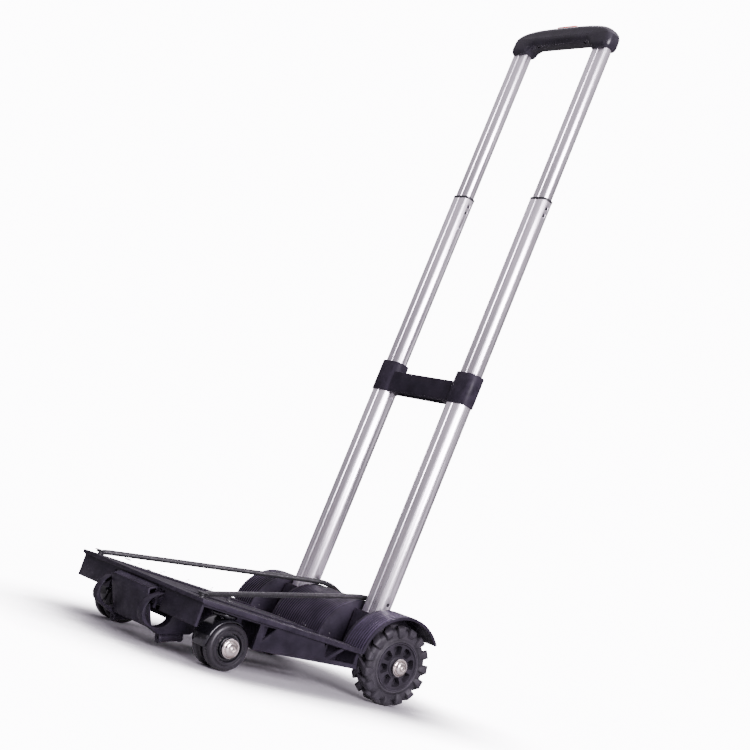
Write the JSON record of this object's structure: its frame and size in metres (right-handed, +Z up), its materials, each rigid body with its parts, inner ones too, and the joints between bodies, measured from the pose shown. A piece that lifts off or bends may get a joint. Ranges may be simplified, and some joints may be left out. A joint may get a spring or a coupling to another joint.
{
  "type": "folding hand truck",
  "caption": "Folding luggage hand truck with a telescoping tube handle, a hinged slotted deck, lugged rear wheels, swivel front casters and elastic cords.",
  "frame": {"origin": "middle of the floor area under the cart, standing on its four wheel sets", "axes": "+Z up, -Y towards the front edge of the deck, +X towards the right when standing behind the handle and facing the deck's front"},
  "size_m": [0.3228, 0.4478, 0.9695],
  "materials": {
    "abs": "fine-textured black moulded plastic",
    "gloss": "polished black nylon",
    "alloy": "satin anodised aluminium",
    "steel": "zinc-plated steel",
    "chrome_cap": "bright chrome",
    "wheel_rubber": "dark rubber",
    "caster_tread": "smooth dark rubber",
    "red_button": "red plastic",
    "cord": "black braided elastic cord"
  },
  "bodies": {
    "cart": {"tube_bridge": "abs", "rear_axle": "steel", "tube_lower_left": "alloy", "tube_lower_right": "alloy", "tube_foot_left": "abs", "tube_foot_right": "abs", "axle_spacer_left": "steel", "axle_spacer_right": "steel", "rear_cap_nut_left": "chrome_cap", "rear_cap_nut_right": "chrome_cap"},
    "stage_middle": {"tube_middle_left": "alloy", "tube_middle_right": "alloy", "seal_ring_left": "caster_tread", "seal_ring_right": "caster_tread", "lock_plug_middle_left": "abs", "lock_plug_middle_right": "abs"},
    "stage_upper": {"grip_body": "abs", "grip_cover": "abs", "tube_upper_left": "alloy", "tube_upper_right": "alloy", "lock_plug_upper_left": "abs", "lock_plug_upper_right": "abs"},
    "button": {"release_button": "red_button", "push_yoke": "steel"},
    "deck": {"deck_tray": "abs", "arch_centre": "abs", "front_hood": "abs", "carry_bar": "abs", "fender_left": "abs", "fender_right": "abs", "front_plate_left": "abs", "front_plate_right": "abs", "elastic_cord_left": "cord", "elastic_cord_right": "cord"},
    "wheel_rear_left": {"rear_rim_left": "abs", "rear_tyre_left": "wheel_rubber"},
    "caster_left": {"caster_fork_left": "gloss", "caster_stem_left": "steel", "caster_axle_left": "steel", "caster_cap_nut_left": "chrome_cap"},
    "caster_wheel_inner_left": {"caster_wheel_inner_left": "caster_tread"},
    "caster_wheel_outer_left": {"caster_wheel_outer_left": "caster_tread"},
    "bolt_middle_left": {"lock_bolt_middle_left": "steel"},
    "bolt_upper_left": {"lock_bolt_upper_left": "steel"},
    "wheel_rear_right": {"rear_rim_right": "abs", "rear_tyre_right": "wheel_rubber"},
    "caster_right": {"caster_fork_right": "gloss", "caster_stem_right": "steel", "caster_axle_right": "steel", "caster_cap_nut_right": "chrome_cap"},
    "caster_wheel_inner_right": {"caster_wheel_inner_right": "caster_tread"},
    "caster_wheel_outer_right": {"caster_wheel_outer_right": "caster_tread"},
    "bolt_middle_right": {"lock_bolt_middle_right": "steel"},
    "bolt_upper_right": {"lock_bolt_upper_right": "steel"}
  },
  "joints": [
    {"name": "deck_fold", "type": "hinge", "parent": "cart", "child": "deck", "pos_m": [0, 0.10562, 0.0512], "axis": [-1, 0, 0], "range_deg": [0, 87], "deforming": ["elastic_cord_left", "elastic_cord_right"]},
    {"name": "middle_slide", "type": "slide", "parent": "cart", "child": "stage_middle", "axis": [0, -0.1275, -0.9918], "range_m": [0, 0.254]},
    {"name": "upper_slide", "type": "slide", "parent": "stage_middle", "child": "stage_upper", "axis": [0, -0.1275, -0.9918], "range_m": [0, 0.226]},
    {"name": "button_press", "type": "slide", "parent": "stage_upper", "child": "button", "axis": [0, -0.1275, -0.9918], "range_m": [0, 0.0028], "stiffness_N_per_m": 1500, "springref_m": -0.001},
    {"name": "rear_wheel_spin_left", "type": "hinge", "parent": "cart", "child": "wheel_rear_left", "pos_m": [-0.1345, 0.10562, 0.0512], "axis": [1, 0, 0], "continuous": true},
    {"name": "caster_swivel_left", "type": "hinge", "parent": "deck", "child": "caster_left", "pos_m": [-0.1265, -0.1535, 0.05751], "axis": [0, 0.0629, 0.998], "continuous": true},
    {"name": "caster_spin_inner_left", "type": "hinge", "parent": "caster_left", "child": "caster_wheel_inner_left", "pos_m": [-0.1143, -0.14631, 0.0285], "axis": [1, 0, 0], "continuous": true},
    {"name": "caster_spin_outer_left", "type": "hinge", "parent": "caster_left", "child": "caster_wheel_outer_left", "pos_m": [-0.1387, -0.14631, 0.0285], "axis": [1, 0, 0], "continuous": true},
    {"name": "bolt_middle_slide_left", "type": "slide", "parent": "stage_middle", "child": "bolt_middle_left", "axis": [-1, 0, 0], "range_m": [0, 0.0014], "stiffness_N_per_m": 400},
    {"name": "bolt_upper_slide_left", "type": "slide", "parent": "stage_upper", "child": "bolt_upper_left", "axis": [-1, 0, 0], "range_m": [0, 0.0014], "stiffness_N_per_m": 400},
    {"name": "rear_wheel_spin_right", "type": "hinge", "parent": "cart", "child": "wheel_rear_right", "pos_m": [0.1345, 0.10562, 0.0512], "axis": [1, 0, 0], "continuous": true},
    {"name": "caster_swivel_right", "type": "hinge", "parent": "deck", "child": "caster_right", "pos_m": [0.1265, -0.1535, 0.05751], "axis": [0, 0.0629, 0.998], "continuous": true},
    {"name": "caster_spin_inner_right", "type": "hinge", "parent": "caster_right", "child": "caster_wheel_inner_right", "pos_m": [0.1143, -0.14631, 0.0285], "axis": [1, 0, 0], "continuous": true},
    {"name": "caster_spin_outer_right", "type": "hinge", "parent": "caster_right", "child": "caster_wheel_outer_right", "pos_m": [0.1387, -0.14631, 0.0285], "axis": [1, 0, 0], "continuous": true},
    {"name": "bolt_middle_slide_right", "type": "slide", "parent": "stage_middle", "child": "bolt_middle_right", "axis": [1, 0, 0], "range_m": [0, 0.0014], "stiffness_N_per_m": 400},
    {"name": "bolt_upper_slide_right", "type": "slide", "parent": "stage_upper", "child": "bolt_upper_right", "axis": [1, 0, 0], "range_m": [0, 0.0014], "stiffness_N_per_m": 400}
  ],
  "couplings": [
    {"joint": "bolt_upper_slide_left", "follows": "button_press", "ratio": 0.5},
    {"joint": "bolt_upper_slide_right", "follows": "button_press", "ratio": 0.5}
  ]
}
